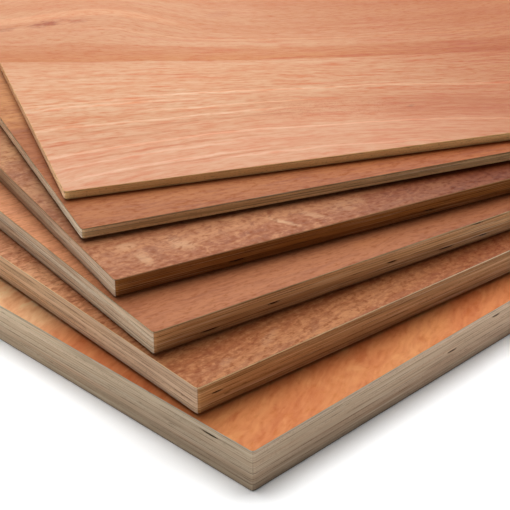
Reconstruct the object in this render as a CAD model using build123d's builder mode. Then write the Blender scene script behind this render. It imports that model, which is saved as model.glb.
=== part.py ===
"""Stack of six plywood sheets, the thickest at the bottom, fanned out about one corner.

Millimetres, +Z up. The origin is the centre of the bottom sheet's underside. The bottom sheet's right
edge runs along +X and its left edge along +Y, and both start at its front corner. Each sheet is built
up from its veneers: a back veneer, the core plies and a face veneer.
"""

import os
from typing import NamedTuple

from build123d import *

# Every sheet is cut to the same panel size
panel_width = 400.0  # the right edge, along X on the bottom sheet
panel_length = 600.0  # the left edge, along Y on the bottom sheet

# Thickness of each sheet, from the bottom one up
thickness_1 = 18.0
thickness_2 = 12.0
thickness_3 = 10.0
thickness_4 = 8.0
thickness_5 = 5.0
thickness_6 = 4.0

# Core plies between the two face veneers of each sheet, counted on its sawn edges
core_plies_1 = 7
core_plies_2 = 5
core_plies_3 = 4
core_plies_4 = 3
core_plies_5 = 3
core_plies_6 = 1

# Degrees that each sheet is turned clockwise, seen from above, against the bottom one
turn_1 = 0.0
turn_2 = 5.2
turn_3 = 10.1
turn_4 = 15.5
turn_5 = 21.9
turn_6 = 27.0

# The point that the sheets are fanned about, measured from the front corner of each sheet
fan_along = 343.5  # along the right edge
fan_outside = 3.3  # out from the right edge

face_veneer = 0.5  # thickness of the outer veneers
arris = 0.2  # sanded off the outer edges of a face

# Air left under each sheet, because no sheet is quite flat
air_under_1 = 0.0
air_under_2 = 0.5
air_under_3 = 0.6
air_under_4 = 0.3
air_under_5 = 0.8
air_under_6 = 0.4

# Gaps in the core plies that show on the sawn edges as short dark slots
gap_height = 0.7
gap_depth = 2.5


class Sheet(NamedTuple):
    thickness: float
    core_plies: int
    turn: float
    air_under: float


class CoreGap(NamedTuple):
    sheet: int  # counted from the bottom sheet
    ply: int  # core ply whose upper side is cut, counted from the lowest
    edge: str
    start: float  # from the sheet's front corner, along the edge
    length: float


sheets = (
    Sheet(thickness_1, core_plies_1, turn_1, air_under_1),
    Sheet(thickness_2, core_plies_2, turn_2, air_under_2),
    Sheet(thickness_3, core_plies_3, turn_3, air_under_3),
    Sheet(thickness_4, core_plies_4, turn_4, air_under_4),
    Sheet(thickness_5, core_plies_5, turn_5, air_under_5),
    Sheet(thickness_6, core_plies_6, turn_6, air_under_6),
)

core_gaps = (
    CoreGap(1, 6, "left", start=18.5, length=9.0),
    CoreGap(1, 4, "right", start=116.0, length=7.0),
    CoreGap(1, 6, "right", start=147.0, length=6.0),
    CoreGap(2, 3, "right", start=7.0, length=6.0),
    CoreGap(3, 1, "right", start=21.5, length=9.5),
    CoreGap(3, 2, "right", start=54.5, length=6.5),
    CoreGap(3, 2, "right", start=118.0, length=6.0),
    CoreGap(3, 1, "right", start=148.0, length=9.0),
    CoreGap(3, 1, "right", start=172.0, length=6.0),
    CoreGap(3, 4, "right", start=167.0, length=8.0),
    CoreGap(4, 1, "right", start=52.0, length=9.0),
    CoreGap(4, 1, "right", start=152.5, length=7.0),
)


def sheet_bed(turn, height):
    """The plane that a sheet lies on: origin at its front corner, X along its right edge."""
    fan_x = fan_along - panel_width / 2
    fan_y = -fan_outside - panel_length / 2
    fan = Plane(origin=(fan_x, fan_y, height)).rotated((0, 0, -turn))
    front_corner = fan.from_local_coords((-fan_along, fan_outside, 0))
    return Plane(origin=front_corner, x_dir=fan.x_dir, z_dir=fan.z_dir)


def save(piece, name):
    piece.label = name
    export_step(piece, f"parts/{name}.step")


def make_face_veneer(name, bed, outer_side):
    """An outer veneer, with the arris of its outer side sanded off. outer_side is 1 for up, 0 for down."""
    with BuildPart() as veneer:
        with BuildSketch(bed):
            Rectangle(panel_width, panel_length, align=(Align.MIN, Align.MIN))
        extrude(amount=face_veneer)
        outer_face = veneer.faces().sort_by(Axis.Z)[-outer_side]
        chamfer(outer_face.edges(), length=arris)
    save(veneer.part, name)


def make_core_ply(name, bed, thickness, gaps):
    """A core veneer, with the gaps that are open at the sawn edges cut into its upper side."""
    with BuildPart() as ply:
        with BuildSketch(bed):
            Rectangle(panel_width, panel_length, align=(Align.MIN, Align.MIN))
        extrude(amount=thickness)
        if gaps:
            with BuildSketch(bed.offset(thickness)):
                for gap in gaps:
                    middle = gap.start + gap.length / 2
                    on_right = gap.edge == "right"
                    with Locations((middle, 0) if on_right else (0, middle)):
                        SlotOverall(gap.length, 2 * gap_depth, rotation=0 if on_right else 90)
            extrude(amount=-gap_height, mode=Mode.SUBTRACT)
    save(ply.part, name)


def make_sheet(number, sheet, height):
    """All veneers of one sheet, from its back to its face."""
    bed = sheet_bed(sheet.turn, height)
    core_ply = (sheet.thickness - 2 * face_veneer) / sheet.core_plies
    make_face_veneer(f"sheet_{number}_back_veneer", bed, outer_side=0)
    for ply in range(1, sheet.core_plies + 1):
        ply_bed = bed.offset(face_veneer + (ply - 1) * core_ply)
        gaps = [gap for gap in core_gaps if (gap.sheet, gap.ply) == (number, ply)]
        make_core_ply(f"sheet_{number}_core_ply_{ply}", ply_bed, core_ply, gaps)
    face_bed = bed.offset(sheet.thickness - face_veneer)
    make_face_veneer(f"sheet_{number}_face_veneer", face_bed, outer_side=1)


os.makedirs("parts", exist_ok=True)
height = 0.0
for number, sheet in enumerate(sheets, start=1):
    height += sheet.air_under
    make_sheet(number, sheet, height)
    height += sheet.thickness
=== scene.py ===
"""Looks of the stack of six plywood sheets: veneers with sawn rims, wood figure, light, floor and camera.

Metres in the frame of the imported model. On a sheet, X runs along its right edge, which is the direction
of the face grain, and Y along its left edge; both start at its front corner. Patterns are worked out in
millimetres on the sheet. Sheet 1 is the bottom one.
"""

from math import cos, radians, sin
from typing import NamedTuple

import bpy
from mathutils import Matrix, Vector


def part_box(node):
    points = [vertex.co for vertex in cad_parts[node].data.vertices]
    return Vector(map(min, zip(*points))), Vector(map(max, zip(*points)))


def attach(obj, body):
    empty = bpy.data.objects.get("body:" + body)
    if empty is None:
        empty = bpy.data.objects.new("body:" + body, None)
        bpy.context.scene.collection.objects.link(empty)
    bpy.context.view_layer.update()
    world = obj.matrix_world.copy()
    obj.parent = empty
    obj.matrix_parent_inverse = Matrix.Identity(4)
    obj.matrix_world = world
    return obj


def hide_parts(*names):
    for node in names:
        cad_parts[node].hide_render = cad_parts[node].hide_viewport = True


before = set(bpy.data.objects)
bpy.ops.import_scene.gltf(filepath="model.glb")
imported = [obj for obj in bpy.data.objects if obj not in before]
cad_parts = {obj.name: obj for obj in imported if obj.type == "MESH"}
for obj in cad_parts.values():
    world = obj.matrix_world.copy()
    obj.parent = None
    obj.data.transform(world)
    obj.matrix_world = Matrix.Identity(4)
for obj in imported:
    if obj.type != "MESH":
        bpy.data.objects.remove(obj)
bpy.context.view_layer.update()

MM = 0.001

# Sizes, turns and ply counts are those of the solids
panel_width = 400 * MM
panel_length = 600 * MM
face_veneer = 0.5 * MM
turns = (0.0, 5.2, 10.1, 15.5, 21.9, 27.0)  # degrees, clockwise from above
core_plies = (7, 5, 4, 3, 3, 1)
arris = 0.2 * MM  # sanded off the outer edges of a face
gap_height = 0.7 * MM
gap_depth = 2.5 * MM

# The sawn rim of a veneer
rim_pitch = 1.6 * MM  # between two points on it
rim_levels = 4  # points over its height
weld = 0.1 * MM  # points of the rim and of the faces that lie closer than this become one
unevenness = 0.15 * MM
corner_wear = 0.35 * MM
face_chips = 0.25 * MM
back_chips = 0.5 * MM
back_arris = 0.3 * MM  # torn off the edges of a back

# How far each back veneer stands behind the edge, in millimetres. Where it is more than a hair, the sheet
# isn't quite flat in the photo and a dark line shows below its edge.
# Where a back veneer stands back, and where its torn arris and chips reach deep, its rim also takes the
# painted shade of the sawn edge, which deepens that dark line.
back_setbacks = (0.1, 0.5, 0.1, 0.1, 0.7, 0.1)

# The camera, fitted to the straight edges of the sheets in the photo
camera_heading = 44.745  # degrees from +X
camera_pitch = 27.178  # degrees down
camera_place = (-0.4940, -0.59255, 0.3118)
focal_length = 97.49  # millimetres
sensor_width = 36.0

# The floor starts to run out into white at the first distance from the middle of the stack, and is all
# white at the second
white_from = 0.8
white_by = 1.5
floor_half = 6.0  # half its side
floor_level = -0.1 * MM
floor_glow = 0.06  # seen by the camera only
fill_light = 0.04  # from all around


def paint(red, green, blue):
    """A colour written as it looks on a screen, 0 to 255."""
    parts = (part / 255 for part in (red, green, blue))
    linear = [p / 12.92 if p <= 0.04045 else ((p + 0.055) / 1.055) ** 2.4 for p in parts]
    return (*linear, 1.0)


class Wire:
    """The output of a node. Arithmetic on wires adds the Math nodes that work it out."""

    def __init__(self, graph, socket):
        self.graph = graph
        self.socket = socket

    def __getitem__(self, name):
        """Another output of the same node."""
        return Wire(self.graph, self.graph.find(self.socket.node.outputs, name))

    def math(self, operation, *others):
        values = dict(enumerate((self, *others)))
        return self.graph.node("ShaderNodeMath", {"operation": operation}, values)

    def __add__(self, other):
        return self.math("ADD", other)

    def __sub__(self, other):
        return self.math("SUBTRACT", other)

    def __rsub__(self, other):
        return self * -1 + other

    def __mul__(self, other):
        return self.math("MULTIPLY", other)

    def __truediv__(self, other):
        return self.math("DIVIDE", other)

    def __gt__(self, other):
        return self.math("GREATER_THAN", other)

    def __lt__(self, other):
        return self.math("LESS_THAN", other)

    def __abs__(self):
        return self.math("ABSOLUTE")

    __radd__ = __add__
    __rmul__ = __mul__


class Graph:
    """A tree of nodes that is being written, for a material or for a shape."""

    def __init__(self, tree):
        self.tree = tree

    @staticmethod
    def find(sockets, name):
        if isinstance(name, int):
            return sockets[name]
        return next(s for s in sockets if name in (s.identifier, s.name))

    def node(self, kind, settings=None, values=None):
        """Adds a node. Settings are set first; values are numbers or wires for its sockets."""
        made = self.tree.nodes.new(kind)
        for name, value in (settings or {}).items():
            if name == "stops":
                self.set_stops(made.color_ramp, value)
            else:
                setattr(made, name, value)
        for name, value in (values or {}).items():
            socket = self.find(made.inputs, name)
            if isinstance(value, Wire):
                self.tree.links.new(value.socket, socket)
            else:
                socket.default_value = value
        return Wire(self, made.outputs[0]) if made.outputs else None

    @staticmethod
    def set_stops(ramp, stops):
        while len(ramp.elements) < len(stops):
            ramp.elements.new(1.0)
        for element, (place, colour) in zip(ramp.elements, stops):
            element.position = place
            element.color = colour

    def vector(self, operation, a, b):
        return self.node("ShaderNodeVectorMath", {"operation": operation}, {0: a, 1: b})

    def parts(self, vector):
        split = self.node("ShaderNodeSeparateXYZ", values={"Vector": vector})
        return split["X"], split["Y"], split["Z"]

    def join(self, x, y, z):
        return self.node("ShaderNodeCombineXYZ", values={"X": x, "Y": y, "Z": z})

    def noise(self, place, size=(1, 1, 1), detail=2.0, roughness=0.5, distortion=0.0, seed=0.0):
        """Soft random pattern about 0.5, with spots of the given size along each axis."""
        return self.node(
            "ShaderNodeTexNoise",
            {"noise_dimensions": "4D"},
            {
                "Vector": self.vector("DIVIDE", place, size),
                "W": seed,
                "Scale": 1.0,
                "Detail": detail,
                "Roughness": roughness,
                "Distortion": distortion,
            },
        )

    def smooth(self, value, start, end):
        """Rises softly from 0 at start to 1 at end."""
        return self.node(
            "ShaderNodeMapRange",
            {"interpolation_type": "SMOOTHSTEP"},
            {"Value": value, "From Min": start, "From Max": end},
        )

    def mix(self, factor, a, b, blend="MIX"):
        return self.node(
            "ShaderNodeMix",
            {"data_type": "RGBA", "blend_type": blend, "clamp_factor": True},
            {"Factor_Float": factor, "A_Color": a, "B_Color": b},
        )["Result_Color"]

    def tint(self, factor, colour, tone):
        """Multiplies a colour by a tone where the factor is 1, and leaves it where the factor is 0."""
        return self.mix(factor, colour, tone, blend="MULTIPLY")

    def add_tones(self, colour, rows):
        """Mixes tones into a colour one after the other. Each row has a pattern, the values of the pattern
        between which the tone comes in, its strength and the tone.
        """
        for pattern, start, end, strength, tone in rows:
            colour = self.mix(self.smooth(pattern, start, end) * strength, colour, tone)
        return colour


# The veneers


class Sheet(NamedTuple):
    number: int
    turn: float  # radians
    core_plies: int
    corner: Vector  # the front corner of its underside
    thickness: float

    @property
    def core_ply(self):
        return (self.thickness - 2 * face_veneer) / self.core_plies


def read_sheets():
    sheets = []
    for number, (turn, plies) in enumerate(zip(turns, core_plies), start=1):
        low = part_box(f"sheet_{number}_back_veneer")[0]
        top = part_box(f"sheet_{number}_face_veneer")[1].z
        corner = Vector((low.x, low.y + panel_width * sin(radians(turn)), low.z))
        sheets.append(Sheet(number, radians(turn), plies, corner, top - low.z))
    return sheets


class CoreGap(NamedTuple):
    sheet: int
    ply: int
    edge: str
    start: float  # millimetres from the front corner, along the edge
    length: float


core_gaps = (
    CoreGap(1, 6, "left", 18.5, 9.0),
    CoreGap(1, 4, "right", 116.0, 7.0),
    CoreGap(1, 6, "right", 147.0, 6.0),
    CoreGap(2, 3, "right", 7.0, 6.0),
    CoreGap(3, 1, "right", 21.5, 9.5),
    CoreGap(3, 2, "right", 54.5, 6.5),
    CoreGap(3, 2, "right", 118.0, 6.0),
    CoreGap(3, 1, "right", 148.0, 9.0),
    CoreGap(3, 1, "right", 172.0, 6.0),
    CoreGap(3, 4, "right", 167.0, 8.0),
    CoreGap(4, 1, "right", 52.0, 9.0),
    CoreGap(4, 1, "right", 152.5, 7.0),
)


def veneer_tree():
    """The shape of one veneer. Gaps is a mesh with a point for every core gap that is cut into it."""
    tree = bpy.data.node_groups.new("Veneer", "GeometryNodeTree")
    inputs = (
        ("Gaps", "Geometry"),
        ("Width", "Float"),
        ("Length", "Float"),
        ("Thickness", "Float"),
        ("Height", "Float"),
        ("Corner", "Vector"),
        ("Turn", "Float"),
        ("Upper Arris", "Float"),
        ("Lower Arris", "Float"),
        ("Setback", "Float"),
        ("Unevenness", "Float"),
        ("Chips", "Float"),
        ("Corner Wear", "Float"),
        ("Rim Pitch", "Float"),
        ("Levels", "Int"),
        ("Seed", "Float"),
        ("Face Finish", "Material"),
        ("Rim Finish", "Material"),
    )
    for name, kind in inputs:
        tree.interface.new_socket(name, in_out="INPUT", socket_type=f"NodeSocket{kind}")
    tree.interface.new_socket("Veneer", in_out="OUTPUT", socket_type="NodeSocketGeometry")

    graph = Graph(tree)
    given = graph.node("NodeGroupInput")
    width, length, thickness = given["Width"], given["Length"], given["Thickness"]
    seed = given["Seed"]
    hair = 0.01 * MM  # points closer than this to a side lie on it

    # The rim: a strip as long as the outline, wrapped round the rectangle
    outline = (width + length) * 2
    columns = (outline / given["Rim Pitch"]).math("ROUND")
    strip = graph.node(
        "GeometryNodeMeshGrid",
        values={
            "Size X": outline,
            "Size Y": thickness,
            "Vertices X": columns + 1,
            "Vertices Y": given["Levels"],
        },
    )
    along, up, _ = graph.parts(graph.node("GeometryNodeInputPosition"))
    along = along + outline / 2
    up = up + thickness / 2

    def leg(start, size):
        """How far the outline has gone along a side that begins at start."""
        return graph.node("ShaderNodeClamp", values={"Value": along - start, "Min": 0.0, "Max": size})

    x = leg(0.0, width) - leg(width + length, width)
    y = leg(width, length) - leg(width * 2 + length, length)
    wrapped = {"Geometry": strip, "Position": graph.join(x, y, up)}
    rim = graph.node("GeometryNodeSetPosition", values=wrapped)

    # The two faces
    size = {"Width": width, "Height": length}
    rectangle = graph.node("GeometryNodeCurvePrimitiveQuadrilateral", values=size)
    outline_points = graph.node(
        "GeometryNodeResampleCurve",
        {"mode": "COUNT"},
        {"Curve": rectangle, "Count": columns},
    )
    flat = graph.node("GeometryNodeFillCurve", {"mode": "NGONS"}, {"Curve": outline_points})
    turned_over = graph.node("GeometryNodeFlipFaces", values={"Mesh": flat})
    top, under = (
        graph.node(
            "GeometryNodeTransform",
            values={"Geometry": face, "Translation": graph.join(width / 2, length / 2, level)},
        )
        for face, level in ((flat, thickness), (turned_over, 0.0))
    )
    block = graph.node("GeometryNodeJoinGeometry")
    for part in (under, top, rim):
        tree.links.new(part.socket, block.socket.node.inputs[0])
    block = graph.node("GeometryNodeMergeByDistance", values={"Geometry": block, "Distance": weld})

    # The sawn rim stands back by a little less or more from place to place
    place = graph.node("GeometryNodeInputPosition")
    x, y, z = graph.parts(place)
    level = z / thickness
    wave = graph.noise(place, (40 * MM, 40 * MM, 8 * MM), seed=seed) - 0.3
    fibre = graph.noise(place, (6 * MM, 6 * MM, 0.5 * MM), detail=3, roughness=0.6, seed=seed + 7) - 0.3
    chip = graph.smooth(graph.noise(place, (4 * MM, 4 * MM, 4 * MM), seed=seed + 13), 0.60, 0.74)
    at_top = level > 0.9
    at_bottom = level < 0.1
    arris_at = at_top * given["Upper Arris"] + at_bottom * given["Lower Arris"]
    worn = arris_at * (0.75 + graph.noise(place, (9 * MM, 9 * MM, 9 * MM), seed=seed + 3) * 0.5)
    uneven = given["Unevenness"] * (wave + fibre)
    uneven = uneven.math("MAXIMUM", 0.0)
    inset = given["Setback"] + uneven + worn + chip * given["Chips"] * (at_top + at_bottom)
    on_x_side = (x < hair) - (x > width - hair)
    on_y_side = (y < hair) - (y > length - hair)
    inset = inset + abs(on_x_side) * abs(on_y_side) * given["Corner Wear"]
    inwards = graph.join(inset * on_x_side, inset * on_y_side, 0.0)
    block = graph.node("GeometryNodeSetPosition", values={"Geometry": block, "Offset": inwards})

    # A core gap is a ragged lens that is cut in from the edge, in the upper side of the ply
    lens = graph.node("GeometryNodeMeshUVSphere", values={"Segments": 24, "Rings": 9, "Radius": 0.5})
    ragged = graph.noise(graph.node("GeometryNodeInputPosition"), (0.3, 0.3, 0.3), detail=1, seed=12)
    lens = graph.node(
        "GeometryNodeSetPosition",
        values={"Geometry": lens, "Offset": graph.join(0.0, (ragged - 0.5) * 0.5, (ragged - 0.5) * 0.3)},
    )
    gap_length, gap_turn = (
        graph.node("GeometryNodeInputNamedAttribute", {"data_type": "FLOAT"}, {"Name": name})
        for name in ("gap_length", "gap_turn")
    )
    cutters = graph.node(
        "GeometryNodeInstanceOnPoints",
        values={
            "Points": given["Gaps"],
            "Instance": lens,
            "Rotation": graph.join(0.0, 0.0, gap_turn),
            "Scale": graph.join(gap_length, 2 * gap_depth, 2 * gap_height),
        },
    )
    cutters = graph.node("GeometryNodeRealizeInstances", values={"Geometry": cutters})
    with_gaps = graph.node(
        "GeometryNodeMeshBoolean",
        {"operation": "DIFFERENCE", "solver": "MANIFOLD"},
        {"Mesh 1": block, "Mesh 2": cutters},
    )
    counted = graph.node(
        "GeometryNodeAttributeDomainSize",
        {"component": "MESH"},
        {"Geometry": given["Gaps"]},
    )
    block = graph.node(
        "GeometryNodeSwitch",
        {"input_type": "GEOMETRY"},
        {"Switch": counted["Point Count"] > 0.5, "False": block, "True": with_gaps},
    )

    # The outer side of the sheet has the finish of the face, all else that of the sawn edge
    block = graph.node("GeometryNodeRealizeInstances", values={"Geometry": block})
    block = graph.node(
        "GeometryNodeSetMaterial",
        values={"Geometry": block, "Material": given["Rim Finish"]},
    )
    _, _, z = graph.parts(graph.node("GeometryNodeInputPosition"))
    _, _, nz = graph.parts(graph.node("GeometryNodeInputNormal"))
    outer = (given["Upper Arris"] > 0) * (z > thickness - hair) + (given["Lower Arris"] > 0) * (z < hair)
    flat_part = outer * (abs(nz) > 0.9)
    block = graph.node(
        "GeometryNodeSetMaterial",
        values={"Geometry": block, "Selection": flat_part, "Material": given["Face Finish"]},
    )

    # From the frame of the veneer to its place in the stack
    x, y, z = graph.parts(given["Corner"])
    block = graph.node(
        "GeometryNodeTransform",
        values={
            "Geometry": block,
            "Translation": graph.join(x, y, z + given["Height"]),
            "Rotation": graph.join(0.0, 0.0, given["Turn"] * -1),
        },
    )
    graph.node("NodeGroupOutput", values={"Veneer": block})
    return tree


def make_veneer(tree, node, values, gaps):
    """Makes one veneer with the tree, as a plain mesh that stands for its CAD node."""
    base = bpy.data.meshes.new(f"{node}_base")
    base.from_pydata([gap[0] for gap in gaps], [], [])
    for name, column in (("gap_length", 1), ("gap_turn", 2)):
        attribute = base.attributes.new(name, "FLOAT", "POINT")
        for point, gap in zip(attribute.data, gaps):
            point.value = gap[column]
    piece = bpy.data.objects.new(f"{node}_sawn", base)
    bpy.context.scene.collection.objects.link(piece)
    modifier = piece.modifiers.new("Veneer", "NODES")
    modifier.node_group = tree
    for item in tree.interface.items_tree:
        if item.in_out == "INPUT" and item.name in values:
            modifier[item.identifier] = values[item.name]
    evaluated = piece.evaluated_get(bpy.context.evaluated_depsgraph_get())
    mesh = bpy.data.meshes.new_from_object(evaluated)
    piece.modifiers.clear()
    piece.data = mesh
    bpy.data.meshes.remove(base)
    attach(piece, "root")
    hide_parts(node)


def gap_points(sheet, ply, height):
    """Middle, length and turn of every core gap in a ply, in the ply's own frame."""
    points = []
    for gap in core_gaps:
        if (gap.sheet, gap.ply) != (sheet.number, ply):
            continue
        middle = (gap.start + gap.length / 2) * MM
        on_right = gap.edge == "right"
        place = (middle, 0, height) if on_right else (0, middle, height)
        points.append((place, gap.length * MM, 0.0 if on_right else radians(90)))
    return points


def make_sheet(tree, sheet, face, edge):
    """Makes all veneers of one sheet, with the finishes of its face and its edge."""
    shared = {
        "Width": panel_width,
        "Length": panel_length,
        "Corner": sheet.corner,
        "Turn": sheet.turn,
        "Rim Pitch": rim_pitch,
        "Levels": rim_levels,
        "Unevenness": unevenness,
        "Corner Wear": corner_wear,
        "Rim Finish": edge,
    }
    for side in ("back", "face"):
        is_face = side == "face"
        values = {
            "Thickness": face_veneer,
            "Height": sheet.thickness - face_veneer if is_face else 0.0,
            "Upper Arris": arris if is_face else 0.0,
            "Lower Arris": 0.0 if is_face else back_arris,
            "Setback": 0.0 if is_face else back_setbacks[sheet.number - 1] * MM,
            "Chips": face_chips if is_face else back_chips,
            "Seed": float(sheet.number * 20 + is_face),
            "Face Finish": face,
        }
        node = f"sheet_{sheet.number}_{side}_veneer"
        make_veneer(tree, node, shared | values, [])
    for ply in range(1, sheet.core_plies + 1):
        from_face = min(ply, sheet.core_plies + 1 - ply)
        cross_grain = from_face % 2 == 1
        step = (ply * 7 + sheet.number * 3) % 4  # neighbouring plies don't end in one plane
        values = {
            "Thickness": sheet.core_ply,
            "Height": face_veneer + (ply - 1) * sheet.core_ply,
            "Setback": (0.02 + 0.05 * step / 3) * MM,
            "Seed": float(sheet.number * 20 + 1 + ply),
            "Face Finish": edge,
        }
        node = f"sheet_{sheet.number}_core_ply_{ply}"
        make_veneer(tree, node, shared | values, gap_points(sheet, ply, sheet.core_ply))


# Finishes


def new_material(name):
    material = bpy.data.materials.new(name)
    material.use_nodes = True
    material.node_tree.nodes.clear()
    return material, Graph(material.node_tree)


def wood_space(graph, sheet):
    """Millimetres on the sheet, from its front corner."""
    place = graph.node("ShaderNodeTexCoord")["Object"]
    turned = graph.node(
        "ShaderNodeMapping",
        {"vector_type": "TEXTURE"},
        {"Vector": place, "Location": sheet.corner, "Rotation": (0, 0, -sheet.turn)},
    )
    return graph.vector("DIVIDE", turned, (MM, MM, MM))


def finish_wood(graph, colour, roughness, height, bump, specular=0.15):
    relief = {"Height": height, "Strength": bump, "Distance": 0.2 * MM}
    normal = graph.node("ShaderNodeBump", values=relief)
    shader = graph.node(
        "ShaderNodeBsdfPrincipled",
        values={
            "Base Color": colour,
            "Roughness": roughness,
            "Specular IOR Level": specular,
            "Normal": normal,
        },
    )
    graph.node("ShaderNodeOutputMaterial", values={"Surface": shader})


class Mark(NamedTuple):
    """A patch or fleck of another colour in a face veneer, in millimetres and degrees on the sheet."""

    x: float
    y: float
    along: float  # half its length
    across: float  # half its width
    lean: float
    colour: tuple
    strength: float


class Line(NamedTuple):
    """A fine line that follows the grain, in millimetres on the sheet."""

    row: float  # where its grain line meets the left edge
    start: float
    end: float
    width: float
    colour: tuple
    strength: float


as_it_is = (1, 1, 1, 1)  # a factor that changes nothing


class Face(NamedTuple):
    """The figure of a face veneer."""

    light: tuple
    base: tuple
    dark: tuple
    pore: tuple
    streaks: float  # strength of the streaks along the grain
    streak_size: float  # across the grain
    curl: float  # strength of the mottled figure
    curl_size: tuple
    pores: float  # strength of the short dark and pale dashes
    pore_size: tuple
    lean: float = 0  # degrees between the grain and the right edge
    # These far factors are partly the veneer's own tone and partly painted light and shade: darker towards
    # the far end of the right edge, where the light falls off, and lighter or darker along the left edge,
    # where the strips get more or less light.
    far_right_tone_and_painted_shade: tuple = as_it_is  # factor on the colour towards the far end of the right edge
    far_left_tone_and_painted_light: tuple = as_it_is  # the same for the left edge
    end_left_tone_and_painted_light: tuple = as_it_is  # a further factor beyond 110 mm along the left edge
    soft_far: float = 0  # how far the streaks fade beyond 110 to 210 mm along the left edge
    marks: tuple = ()


pale = paint(240, 190, 156)
cream = paint(230, 178, 134)
red_fleck = paint(164, 82, 44)
russet = paint(142, 76, 44)

faces = {
    6: Face(
        light=paint(230, 182, 143),
        base=paint(218, 155, 111),
        dark=paint(208, 110, 52),
        pore=paint(198, 98, 50),
        streaks=0.85,
        streak_size=5.0,
        curl=0.2,
        curl_size=(14, 9, 9),
        pores=0.4,
        pore_size=(4.5, 0.8, 1),
        soft_far=0.6,
        marks=(
            Mark(37, 240, 12, 6, 14, red_fleck, 0.95),
            Mark(55, 239, 8, 4, 10, red_fleck, 0.5),
            Mark(10, 236, 10, 4, 14, red_fleck, 0.6),
            Mark(188, 49, 3, 2.0, 40, paint(128, 88, 64), 0.6),
            Mark(157, 230, 22, 9, 100, pale, 0.25),
            Mark(140, 226, 9, 6, 30, paint(198, 124, 92), 0.4),
        ),
    ),
    5: Face(
        light=paint(193, 121, 70),
        base=paint(174, 100, 54),
        dark=paint(154, 82, 46),
        pore=paint(150, 78, 44),
        streaks=0.8,
        streak_size=3.2,
        curl=0.3,
        curl_size=(12, 8, 8),
        pores=0.5,
        pore_size=(3.4, 1.4, 1),
        far_right_tone_and_painted_shade=(0.97, 0.8, 0.62, 1),
        far_left_tone_and_painted_light=(0.87, 0.82, 0.67, 1),
        end_left_tone_and_painted_light=(1.42, 1.9, 2.3, 1),
        marks=(Mark(124, 22, 16, 5, 0, paint(206, 120, 56), 0.7),),
    ),
    4: Face(
        light=paint(214, 150, 103),
        base=paint(177, 106, 66),
        dark=paint(146, 80, 48),
        pore=paint(150, 82, 50),
        streaks=0.35,
        streak_size=3.2,
        curl=0.9,
        curl_size=(8, 6, 6),
        pores=0.6,
        pore_size=(3.0, 2.2, 1),
        lean=4,
        far_right_tone_and_painted_shade=(0.42, 0.235, 0.12, 1),
        far_left_tone_and_painted_light=(0.87, 0.92, 0.92, 1),
        end_left_tone_and_painted_light=(1.1, 1.14, 1.06, 1),
        marks=(
            Mark(19, 12, 3.5, 9, 0, cream, 0.7),
            Mark(16, 25, 7, 3.5, 0, cream, 0.5),
            Mark(25, 16, 3.5, 9, 5, russet, 0.5),
            Mark(38, 16, 5.5, 9, 10, cream, 0.6),
            Mark(87, 12, 10, 1.8, -58, cream, 0.9),
            Mark(101, 13, 9, 2.6, -50, cream, 0.6),
            Mark(120, 14, 12, 6, 10, cream, 0.45),
            Mark(170, 12, 12, 4, 0, cream, 0.4),
        ),
    ),
    3: Face(
        light=paint(200, 127, 81),
        base=paint(182, 109, 67),
        dark=paint(160, 90, 54),
        pore=paint(158, 88, 52),
        streaks=0.7,
        streak_size=3.2,
        curl=0.3,
        curl_size=(10, 7, 7),
        pores=0.5,
        pore_size=(3.4, 1.4, 1),
        far_right_tone_and_painted_shade=(0.8, 0.71, 0.6, 1),
        far_left_tone_and_painted_light=(1.5, 1.76, 1.98, 1),
        marks=(Mark(120, 12, 12, 5, 0, paint(204, 126, 68), 0.4),),
    ),
    2: Face(
        light=paint(212, 145, 92),
        base=paint(181, 106, 58),
        dark=paint(150, 80, 42),
        pore=paint(150, 80, 44),
        streaks=0.5,
        streak_size=3.2,
        curl=0.7,
        curl_size=(6, 4, 4),
        pores=0.75,
        pore_size=(2.8, 1.8, 1),
        lean=6,
        far_right_tone_and_painted_shade=(0.74, 0.6, 0.5, 1),
        far_left_tone_and_painted_light=(1.42, 1.68, 2.2, 1),
        end_left_tone_and_painted_light=(0.9, 0.87, 0.88, 1),
        marks=(
            Mark(20, 8, 5, 3, 20, cream, 0.35),
            Mark(46, 12, 7, 3, 30, cream, 0.35),
            Mark(66, 7, 8, 2.6, 45, russet, 0.6),
            Mark(112, 18, 9, 3, 30, russet, 0.6),
        ),
    ),
    1: Face(
        light=paint(246, 168, 102),
        base=paint(228, 134, 75),
        dark=paint(208, 106, 52),
        pore=paint(190, 96, 48),
        streaks=0.35,
        streak_size=4.0,
        curl=0.8,
        curl_size=(20, 9, 9),
        pores=0.15,
        pore_size=(4, 2, 1),
        lean=24,
        far_right_tone_and_painted_shade=(1.06, 0.98, 0.94, 1),
        far_left_tone_and_painted_light=(1.05, 1.0, 1.08, 1),
        end_left_tone_and_painted_light=(1.18, 2.0, 2.9, 1),
    ),
}

pink = paint(232, 162, 132)  # towards the right edge of the top sheet

# Factors on the colour of the top sheet, for its lines, its band and its far part, which is darker partly
# in its own tone and partly by painted shade where the light falls off
brighter = (1.16, 1.28, 1.4, 1)
redder = (0.86, 0.7, 0.58, 1)
orange = (0.85, 0.62, 0.4, 1)
far_tone_and_painted_shade = (0.56, 0.27, 0.05, 1)

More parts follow.
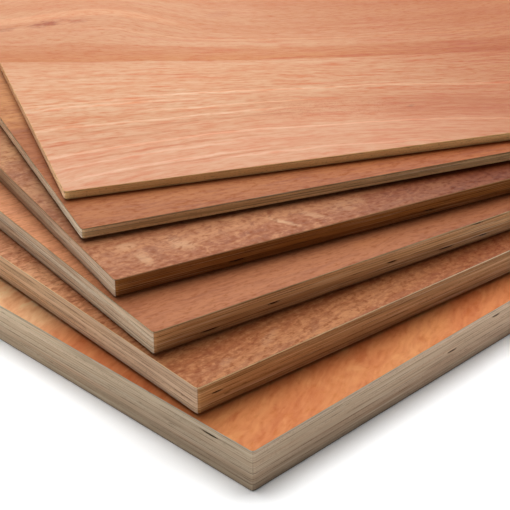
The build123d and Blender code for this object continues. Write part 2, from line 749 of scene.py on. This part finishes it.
top_sheet_lines = (
    Line(137, 0, 110, 50, brighter, 0.25),
    Line(78, 110, 240, 30, redder, 0.45),
    Line(20, 0, 110, 26, brighter, 0.25),
    Line(62, 175, 420, 30, redder, 0.55),
    Line(112, 70, 300, 2.2, brighter, 1.0),
    Line(107, 0, 70, 1.7, brighter, 0.7),
    Line(101, 10, 90, 2.4, brighter, 1.0),
    Line(87, 60, 150, 2.2, brighter, 0.9),
    Line(73, 0, 130, 2.2, brighter, 0.9),
    Line(39, 0, 330, 2.1, brighter, 1.0),
    Line(24, 0, 90, 1.6, brighter, 0.6),
    Line(10, 10, 90, 1.9, brighter, 0.8),
    Line(2, 80, 190, 1.9, brighter, 0.7),
    Line(253, 0, 112, 8, brighter, 1.0),
    Line(242, 0, 70, 4, redder, 0.4),
    Line(228, 60, 300, 2.0, brighter, 0.5),
    Line(150, 20, 120, 1.8, redder, 0.6),
    Line(118, 60, 160, 1.6, redder, 0.45),
    Line(64, 20, 130, 2.0, redder, 0.8),
    Line(52, 0, 60, 1.8, redder, 0.8),
    Line(30, 20, 110, 1.8, redder, 0.8),
    Line(6, 30, 110, 1.8, redder, 0.8),
)


def face_material(sheet):
    """Sanded face veneer: soft streaks and pores along the grain, a mottled figure, and its marks."""
    look = faces[sheet.number]
    material, graph = new_material(f"face_veneer_{sheet.number}")
    place = wood_space(graph, sheet)
    x, y, _ = graph.parts(place)
    seed = sheet.number * 3.7
    is_top_sheet = sheet.number == len(turns)

    sway = (graph.noise(place, (80, 30, 30), detail=1, seed=seed) - 0.5) * 6
    sway = sway + (graph.noise(place, (14, 9, 9), detail=1, seed=seed + 9) - 0.5) * 4
    lean = radians(look.lean)
    along = x * cos(lean) + y * sin(lean)
    row = (top_sheet_row(graph, x, y) if is_top_sheet else y * cos(lean) - x * sin(lean)) + sway
    grain = graph.join(along, row, 0.0)

    broad = graph.noise(grain, (170, 15, 1), detail=1, seed=seed + 1)
    middle = graph.noise(grain, (34, look.streak_size, 1), detail=2, roughness=0.5, seed=seed + 2)
    fine = graph.noise(grain, (11, look.streak_size * 0.4, 1), detail=1, roughness=0.5, seed=seed + 3)
    dashes = graph.noise(grain, look.pore_size, detail=2, roughness=0.6, seed=seed + 4)
    pores = graph.smooth(dashes, 0.5, 0.7)
    curl = graph.noise(grain, look.curl_size, detail=4, roughness=0.55, distortion=1.0, seed=seed + 5)

    streaks = look.streaks * (1 - graph.smooth(y, 110, 210) * look.soft_far)
    colour = graph.mix(graph.smooth(broad, 0.35, 0.7) * 0.6, look.base, look.light)
    ragged = graph.noise(place, (6, 3, 3), detail=3, roughness=0.6, seed=seed + 6) - 0.5
    for mark in look.marks:
        own = graph.node(
            "ShaderNodeMapping",
            {"vector_type": "TEXTURE"},
            {
                "Vector": place,
                "Location": (mark.x, mark.y, sheet.thickness / MM),
                "Rotation": (0, 0, radians(mark.lean)),
                "Scale": (mark.along, mark.across, 10),
            },
        )
        away = graph.node("ShaderNodeVectorMath", {"operation": "LENGTH"}, {0: own})["Value"]
        mask = graph.smooth(away + ragged * 2.2, 1.2, 0.3)
        colour = graph.mix(mask * mark.strength, colour, mark.colour)
    colour = graph.add_tones(
        colour,
        (
            (middle, 0.5, 0.68, 0.7 * streaks, look.dark),
            (middle, 0.48, 0.3, 0.7 * streaks, look.light),
            (fine, 0.5, 0.66, 0.55 * streaks, look.dark),
            (fine, 0.48, 0.32, 0.6 * streaks, look.light),
            (curl, 0.5, 0.7, 0.75 * look.curl, look.dark),
            (curl, 0.46, 0.3, 0.8 * look.curl, look.light),
            (dashes, 0.5, 0.7, look.pores, look.pore),
            (dashes, 0.48, 0.32, 0.8 * look.pores, look.light),
        ),
    )
    # Painted light and shade mixed with the veneer's own tone, by the far factors
    colour = graph.tint(graph.smooth(x, 70, 200), colour, look.far_right_tone_and_painted_shade)
    colour = graph.tint(graph.smooth(y, 20, 75), colour, look.far_left_tone_and_painted_light)
    colour = graph.tint(graph.smooth(y, 110, 138), colour, look.end_left_tone_and_painted_light)
    if is_top_sheet:
        colour = top_sheet_figure(graph, colour, x, y, row, place, seed)

    roughness = 0.62 + pores * 0.2 - (middle - 0.5) * 0.15
    height = fine * 0.5 + (1 - pores) * 0.8 + middle * 0.3
    finish_wood(graph, colour, roughness, height, bump=0.25)
    return material


def top_sheet_row(graph, x, y):
    """Where the grain line through a place meets the left edge. The lines spread apart away from that edge,
    sink to the right, and rise over a hump in the far left part.
    """
    low = y.math("MINIMUM", 190)
    row = (low - x * 0.265 + x * x * 0.00138) / (x * x * 0.0000093 - x * 0.0033 + 1)
    hump = graph.smooth(abs(x - 78), 78, 0) * graph.smooth(y, 150, 265) * 32
    return row + (y - low) - hump


def top_sheet_figure(graph, colour, x, y, row, place, seed):
    """The orange band across the top sheet, its pale and dark lines, and its far part, darker partly in its
    own tone and partly by painted shade.
    """
    across = graph.join(x, row, 0.0)
    wobble = (graph.noise(across, (40, 8, 1), detail=2, seed=seed + 8) - 0.5) * 5
    line = row + wobble
    colour = graph.mix(graph.smooth(y, 90, 20) * 0.3, colour, pink)
    # Painted shade with the veneer's own tone: the far part darkens towards the far end of the right edge
    # and in the far left part
    far_left_tone_and_painted_light = graph.smooth(y, 120, 220) * (0.3 - graph.smooth(x, 150, 260) * 0.21)
    colour = graph.tint(graph.smooth(x, 110, 300) * 0.74 + far_left_tone_and_painted_light, colour, far_tone_and_painted_shade)
    band_top = graph.smooth(line, 213, 207) * 0.6 + graph.smooth(line, 205, 184) * 0.4
    colour = graph.tint(graph.smooth(line, 177, 180) * band_top, colour, orange)
    curly = graph.smooth(abs(x - 150), 55, 15) * graph.smooth(abs(line - 68), 22, 8)
    specks = graph.noise(place, (1.8, 1.8, 1), detail=2, distortion=1.5, seed=seed + 10)
    colour = graph.tint(curly * graph.smooth(specks, 0.5, 0.62) * 0.6, colour, redder)
    for one in top_sheet_lines:
        starts = graph.smooth(x, one.start - 15, one.start + 10)
        ends = graph.smooth(x, one.end + 15, one.end - 20)
        across_it = graph.smooth(abs(line - one.row), one.width, one.width * 0.4)
        colour = graph.tint(starts * ends * across_it * one.strength, colour, one.colour)
    return colour


class Side(NamedTuple):
    """How one sawn edge of a sheet looks, with painted light and shade in its tones."""

    tone: tuple
    skin: tuple  # the cut of the face veneer
    layers: tuple  # factor on the tone for each layer below the face veneer, from the back veneer up
    # Near and far are partly the wood's own drift and partly painted light, where the light on the side
    # changes along it
    near: tuple = as_it_is  # factor on the colour at the front corner
    far: tuple = as_it_is  # the same 150 mm away along the left edge, or 190 mm along the right one


class Edge(NamedTuple):
    left: Side
    right: Side
    dark: tuple  # glue and torn fibres
    light: tuple
    warm: tuple  # heartwood in some plies
    fibres: float  # strength of the fibres
    behind: tuple = (0.8, 0.76, 0.73, 1)  # factor on the colour of the sides that the photo doesn't show


# Painted shade, given to the sawn rim where it lies deep behind the edge
gap_painted_shade = paint(34, 24, 16)  # inside a core gap

# The tones of each side are partly the wood's own colour and partly painted light and shade: the right
# sides, facing away from the lamp, are darker than the left as painted shade, and tones near white, as on
# sheet 6, are raised as painted light where an edge gets little light.
edges = {
    6: Edge(
        left=Side(tone=(252, 210, 172), skin=(250, 210, 174), layers=(0.7, 1.0)),
        right=Side(tone=(255, 216, 150), skin=(236, 190, 124), layers=(0.85, 1.0)),
        dark=paint(120, 78, 38),
        light=paint(250, 218, 166),
        warm=paint(226, 168, 100),
        fibres=0.5,
        behind=(0.7, 0.6, 0.76, 1),
    ),
    5: Edge(
        left=Side(
            tone=(232, 212, 184),
            skin=(210, 186, 156),
            layers=(0.75, 0.95, 1.05, 1.05),
            near=(1, 1.04, 1.08, 1),
            far=(1.3, 1.24, 1.18, 1),
        ),
        # Its skin is darkened: painted shade that takes off the light its arris catches
        right=Side(tone=(233, 195, 139), skin=(154, 118, 78), layers=(0.8, 1.2, 0.85, 1.0)),
        dark=paint(84, 54, 32),
        light=paint(236, 212, 180),
        warm=paint(190, 144, 100),
        fibres=0.8,
    ),
    4: Edge(
        left=Side(
            tone=(194, 170, 142),
            skin=(192, 168, 138),
            layers=(0.8, 0.95, 1.0, 1.1),
            near=(1.2, 1.24, 1.32, 1),
            far=(0.84, 0.76, 0.68, 1),
        ),
        right=Side(tone=(146, 90, 38), skin=(170, 122, 78), layers=(0.6, 0.85, 1.15, 1.0)),
        dark=paint(52, 28, 14),
        light=paint(196, 156, 114),
        warm=paint(140, 78, 38),
        fibres=0.9,
    ),
    3: Edge(
        left=Side(tone=(210, 190, 164), skin=(212, 192, 164), layers=(0.7, 0.85, 1.0, 1.0, 1.1)),
        right=Side(
            tone=(196, 146, 96),
            skin=(178, 146, 106),
            layers=(0.6, 0.95, 1.0, 1.1, 1.2),
            near=(0.93, 0.85, 0.77, 1),
            far=(1.2, 1.25, 1.35, 1),
        ),
        dark=paint(66, 38, 20),
        light=paint(228, 206, 172),
        warm=paint(176, 120, 76),
        fibres=1.0,
    ),
    2: Edge(
        left=Side(
            tone=(222, 191, 156),
            skin=(216, 192, 160),
            layers=(0.65, 0.8, 1.05, 1.05, 0.95, 0.95),
            near=(0.88, 0.86, 0.92, 1),
            far=(1.12, 1.08, 1.05, 1),
        ),
        right=Side(
            tone=(196, 145, 94),
            skin=(240, 212, 170),
            layers=(0.7, 0.8, 0.95, 1.1, 1.15, 0.8),
            near=(0.97, 0.88, 0.76, 1),
            far=(1, 1.04, 1.16, 1),
        ),
        dark=paint(76, 42, 24),
        light=paint(230, 200, 164),
        warm=paint(186, 142, 98),
        fibres=1.0,
    ),
    1: Edge(
        left=Side(
            tone=(196, 175, 149),
            skin=(200, 186, 164),
            layers=(0.5, 0.95, 0.75, 0.95, 1.0, 1.0, 1.1, 1.1),
            near=(0.88, 0.9, 0.9, 1),
            far=(1.12, 1.14, 1.12, 1),
        ),
        right=Side(
            tone=(202, 178, 151),
            skin=(206, 190, 168),
            layers=(0.35, 0.75, 0.8, 0.9, 1.0, 1.05, 1.05, 1.15),
            near=(0.88, 0.89, 0.89, 1),
            far=(1.14, 1.1, 1.1, 1),
        ),
        dark=paint(98, 76, 56),
        light=paint(228, 214, 192),
        warm=paint(186, 146, 118),
        fibres=0.6,
    ),
}


def shade(tone, brightness):
    return tuple(min(part * brightness, 1.0) for part in paint(*tone)[:3]) + (1.0,)


def layer_colours(graph, sheet, side, level):
    """The colour of every layer of the sheet, by the level over its thickness."""
    starts = [0.0]
    starts += [(face_veneer + k * sheet.core_ply) / sheet.thickness for k in range(sheet.core_plies + 1)]
    stops = [(start, shade(side.tone, brightness)) for start, brightness in zip(starts, side.layers)]
    stops.append((starts[-1], paint(*side.skin)))
    ramp = graph.node("ShaderNodeValToRGB", {"stops": stops}, {"Fac": level})
    ramp.socket.node.color_ramp.interpolation = "CONSTANT"
    return ramp


def edge_material(sheet):
    """Sawn edge: a tone for every ply, dark glue lines between them, fibres along the edge and flecks."""
    look = edges[sheet.number]
    material, graph = new_material(f"sawn_edge_{sheet.number}")
    place = wood_space(graph, sheet)
    x, y, z = graph.parts(place)
    seed = sheet.number * 5.3
    thickness = sheet.thickness / MM
    ply = sheet.core_ply / MM
    skin = face_veneer / MM

    nx, ny, _ = graph.parts(graph.node("ShaderNodeNewGeometry")["Normal"])
    on_left = abs(nx * cos(sheet.turn) - ny * sin(sheet.turn)) > 0.7

    wobble = (graph.noise(place, (30, 30, 4), detail=2, seed=seed) - 0.5) * 0.35
    height = z + wobble
    level = height / thickness
    # The left and right sides take their own tones and layers: partly the wood's own, partly painted light
    # and shade for how the lamp falls on each side
    left = layer_colours(graph, sheet, look.left, level)
    right = layer_colours(graph, sheet, look.right, level)
    colour = graph.mix(on_left, right, left)

    # Outer plies and every second one inwards from them lie across the face grain
    steps = (height - skin) / ply
    index = steps.math("FLOOR")
    from_face = index.math("MINIMUM", (sheet.core_plies - 1) - index)
    cross = 1 - from_face.math("FLOORED_MODULO", 2)
    end_grain = abs(cross - on_left)

    own_tone = graph.node("ShaderNodeTexWhiteNoise", {"noise_dimensions": "1D"}, {"W": index + seed})
    heartwood = graph.smooth(graph.noise(place, (45, 45, 0.8), seed=seed + 6), 0.5, 0.7)
    warmth = own_tone["Value"] * 0.4 + heartwood * 0.4
    in_core = (height > skin) * (height < thickness - skin)
    fibres = graph.noise(place, (50, 50, 0.45), detail=3, roughness=0.6, seed=seed + 1)
    dots = graph.noise(place, (1.2, 1.2, 0.5), detail=2, roughness=0.6, seed=seed + 2)
    stain = graph.noise(place, (50, 50, 3), detail=2, seed=seed + 3)
    flecks = graph.noise(place, (6, 6, 0.5), detail=1, seed=seed + 4)

    colour = graph.mix(warmth * in_core, colour, look.warm)
    colour = graph.add_tones(
        colour,
        (
            (fibres, 0.5, 0.7, 0.5 * look.fibres, look.dark),
            (fibres, 0.5, 0.3, 0.6 * look.fibres, look.light),
            (dots, 0.5, 0.75, end_grain * 0.3, look.dark),
            (stain, 0.5, 0.8, 0.3, look.dark),
            (flecks, 0.68, 0.76, 0.5, look.dark),
        ),
    )

    # Glue lines: distance from the nearest boundary between two plies
    nearest = abs(steps - steps.math("ROUND")) * ply
    broken = graph.noise(place, (12, 12, 1), detail=2, seed=seed + 5)
    glue = graph.smooth(nearest, 0.2, 0.05) * graph.smooth(broken, 0.35, 0.65)
    inside = (z > skin * 0.7) * (z < thickness - skin * 0.7)
    colour = graph.mix(glue * inside * 0.75, colour, look.dark)

    # Partly the wood's own tone and partly painted light: the colour is brought up or down along each side,
    # away from the front corner, where the light on the edge changes
    left_tone_and_painted_light = graph.mix(graph.smooth(y, 10, 150), look.left.near, look.left.far)
    right_tone_and_painted_light = graph.mix(graph.smooth(x, 10, 190), look.right.near, look.right.far)
    tone_and_painted_light_along_sides = graph.mix(on_left, right_tone_and_painted_light, left_tone_and_painted_light)
    colour = graph.tint(1.0, colour, tone_and_painted_light_along_sides)

    # Painted shade: inside a core gap, and wherever else the rim lies deeper than the unevenness of the saw
    # cut (chips, worn corners, back veneers that stand back), the colour turns dark
    depth = x.math("MINIMUM", y)
    depth = depth.math("MINIMUM", panel_width / MM - x)
    depth = depth.math("MINIMUM", panel_length / MM - y)
    colour = graph.mix(graph.smooth(depth, 0.35, 0.7), colour, gap_painted_shade)

    # The sides that the photo doesn't show face the lamp, so their tone is brought down
    heading = radians(camera_heading)
    behind = nx * cos(heading) + ny * sin(heading) > 0.3
    colour = graph.tint(behind, colour, look.behind)

    roughness = 0.8 + dots * 0.15
    relief = fibres * 0.6 + dots * 0.5 - glue * 0.5
    finish_wood(graph, colour, roughness, relief, bump=0.4, specular=0.1)
    return material


def seen_by_camera(graph):
    """1 for what the camera sees, also in a reflection or through glass, and 0 for light on its way."""
    path = graph.node("ShaderNodeLightPath")
    seen = path["Is Camera Ray"].math("MAXIMUM", path["Is Glossy Ray"])
    return seen.math("MAXIMUM", path["Is Transmission Ray"])


def floor_material():
    """White studio floor that keeps shadows near the stack and runs out into plain white."""
    material, graph = new_material("studio_floor")
    seen = seen_by_camera(graph)
    paper = graph.node("ShaderNodeBsdfDiffuse", values={"Color": (0.95, 0.95, 0.95, 1)})
    glow = graph.node("ShaderNodeEmission", values={"Color": (1, 1, 1, 1), "Strength": seen * floor_glow})
    near = graph.node("ShaderNodeAddShader", values={0: paper, 1: glow})
    white = graph.node("ShaderNodeEmission", values={"Color": (1, 1, 1, 1), "Strength": 1.0})
    place = graph.node("ShaderNodeTexCoord")["Object"]
    away = graph.node("ShaderNodeVectorMath", {"operation": "LENGTH"}, {0: place})["Value"]
    runs_out = graph.smooth(away, white_from, white_by) * seen
    both = graph.node("ShaderNodeMixShader", values={"Fac": runs_out, 1: near, 2: white})
    graph.node("ShaderNodeOutputMaterial", values={"Surface": both})
    return material


# Studio


def make_floor():
    mesh = bpy.data.meshes.new("studio_floor")
    signs = ((-1, -1), (1, -1), (1, 1), (-1, 1))
    corners = [(x * floor_half, y * floor_half, floor_level) for x, y in signs]
    mesh.from_pydata(corners, [], [(0, 1, 2, 3)])
    mesh.materials.append(floor_material())
    floor = bpy.data.objects.new("studio_floor", mesh)
    bpy.context.scene.collection.objects.link(floor)
    return floor


def make_world():
    """White for the camera, and a weak even light for everything else."""
    world = bpy.data.worlds.new("studio")
    world.use_nodes = True
    world.node_tree.nodes.clear()
    graph = Graph(world.node_tree)
    light = graph.node("ShaderNodeBackground", values={"Color": (1, 1, 1, 1), "Strength": fill_light})
    white = graph.node("ShaderNodeBackground", values={"Color": (1, 1, 1, 1), "Strength": 1.0})
    both = graph.node("ShaderNodeMixShader", values={"Fac": seen_by_camera(graph), 1: light, 2: white})
    graph.node("ShaderNodeOutputWorld", values={"Surface": both})
    bpy.context.scene.world = world


def make_softbox(name, aim, azimuth, elevation, distance, size, watts, only=None):
    """An area light that faces aim. Azimuth is measured from +X towards +Y, both angles in degrees. With
    only, it lights that object alone.
    """
    lamp = bpy.data.lights.new(name, "AREA")
    lamp.shape = "RECTANGLE"
    lamp.size, lamp.size_y = size
    lamp.energy = watts
    a, e = radians(azimuth), radians(elevation)
    away = Vector((cos(a) * cos(e), sin(a) * cos(e), sin(e)))
    softbox = bpy.data.objects.new(name, lamp)
    softbox.location = Vector(aim) + away * distance
    softbox.rotation_mode = "QUATERNION"
    softbox.rotation_quaternion = away.to_track_quat("Z", "Y")
    bpy.context.scene.collection.objects.link(softbox)
    if only:
        receivers = bpy.data.collections.new(f"lit_by_{name}")
        receivers.objects.link(only)
        softbox.light_linking.receiver_collection = receivers


def make_camera():
    data = bpy.data.cameras.new("camera")
    data.sensor_width = sensor_width
    data.lens = focal_length
    data.clip_start = 0.01
    camera = bpy.data.objects.new("camera", data)
    camera.location = camera_place
    camera.rotation_euler = (radians(90 - camera_pitch), 0, radians(camera_heading - 90))
    bpy.context.scene.collection.objects.link(camera)
    bpy.context.scene.camera = camera


bpy.context.scene.view_settings.view_transform = "Standard"
make_camera()
floor = make_floor()
make_world()
front_of_stack = (-0.1, -0.2, 0.03)
make_softbox(
    "softbox",
    front_of_stack,
    azimuth=camera_heading + 3,
    elevation=49,
    distance=2.0,
    size=(2.7, 2.3),
    watts=67,
)
make_softbox(
    "front_card",
    front_of_stack,
    azimuth=camera_heading + 145,
    elevation=8,
    distance=2.5,
    size=(4.0, 0.8),
    watts=7.6,
)
make_softbox(
    "floor_light",
    front_of_stack,
    azimuth=camera_heading + 16,
    elevation=52,
    distance=2.0,
    size=(4.6, 3.6),
    watts=105,
    only=floor,
)

veneer = veneer_tree()
for sheet in read_sheets():
    make_sheet(veneer, sheet, face_material(sheet), edge_material(sheet))
